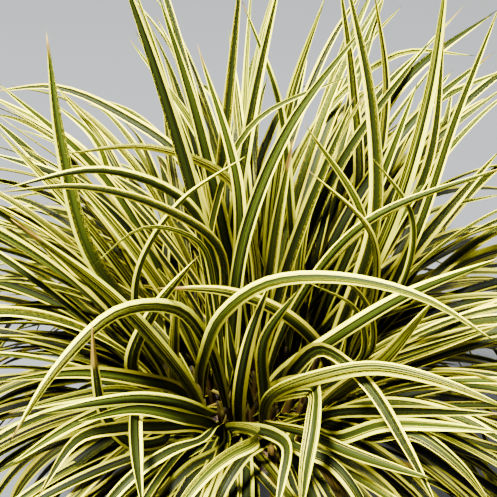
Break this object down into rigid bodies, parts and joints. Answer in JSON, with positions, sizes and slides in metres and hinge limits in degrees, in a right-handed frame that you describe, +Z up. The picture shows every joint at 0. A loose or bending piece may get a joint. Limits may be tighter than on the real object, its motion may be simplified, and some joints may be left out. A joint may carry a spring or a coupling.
{
  "type": "carex sedge in a pot",
  "caption": "Clump of arching, keeled sedge blades, green with cream margins, growing from a crown of leafy shoots in a filled round plant pot.",
  "frame": {"origin": "centre of the underside of the pot's base, on the surface that the pot stands on", "axes": "+Z up, -Y to the front of the plant, +X to the right as seen from the front"},
  "size_m": [0.5845, 0.5632, 0.4461],
  "materials": {
    "pot": "matte, anthracite, moulded",
    "compost": "dark, moist and fibrous",
    "leaf": "satin, green centre with cream-yellow margins"
  },
  "bodies": {
    "root": {"pot": "pot", "compost": "compost", "shoot_01": "leaf", "shoot_02": "leaf", "shoot_03": "leaf", "shoot_04": "leaf", "shoot_05": "leaf", "shoot_06": "leaf", "shoot_07": "leaf", "shoot_08": "leaf", "shoot_09": "leaf", "shoot_10": "leaf", "shoot_11": "leaf", "shoot_12": "leaf", "shoot_13": "leaf", "shoot_14": "leaf", "shoot_15": "leaf", "shoot_16": "leaf", "shoot_17": "leaf", "shoot_18": "leaf", "shoot_19": "leaf", "shoot_20": "leaf", "shoot_21": "leaf", "shoot_22": "leaf", "shoot_23": "leaf", "shoot_24": "leaf", "shoot_25": "leaf", "shoot_26": "leaf", "shoot_27": "leaf", "shoot_28": "leaf", "shoot_29": "leaf", "shoot_30": "leaf", "shoot_31": "leaf", "shoot_32": "leaf", "shoot_33": "leaf", "shoot_34": "leaf", "shoot_35": "leaf", "shoot_36": "leaf", "shoot_37": "leaf", "shoot_38": "leaf", "shoot_39": "leaf", "shoot_40": "leaf"}
  },
  "joints": []
}
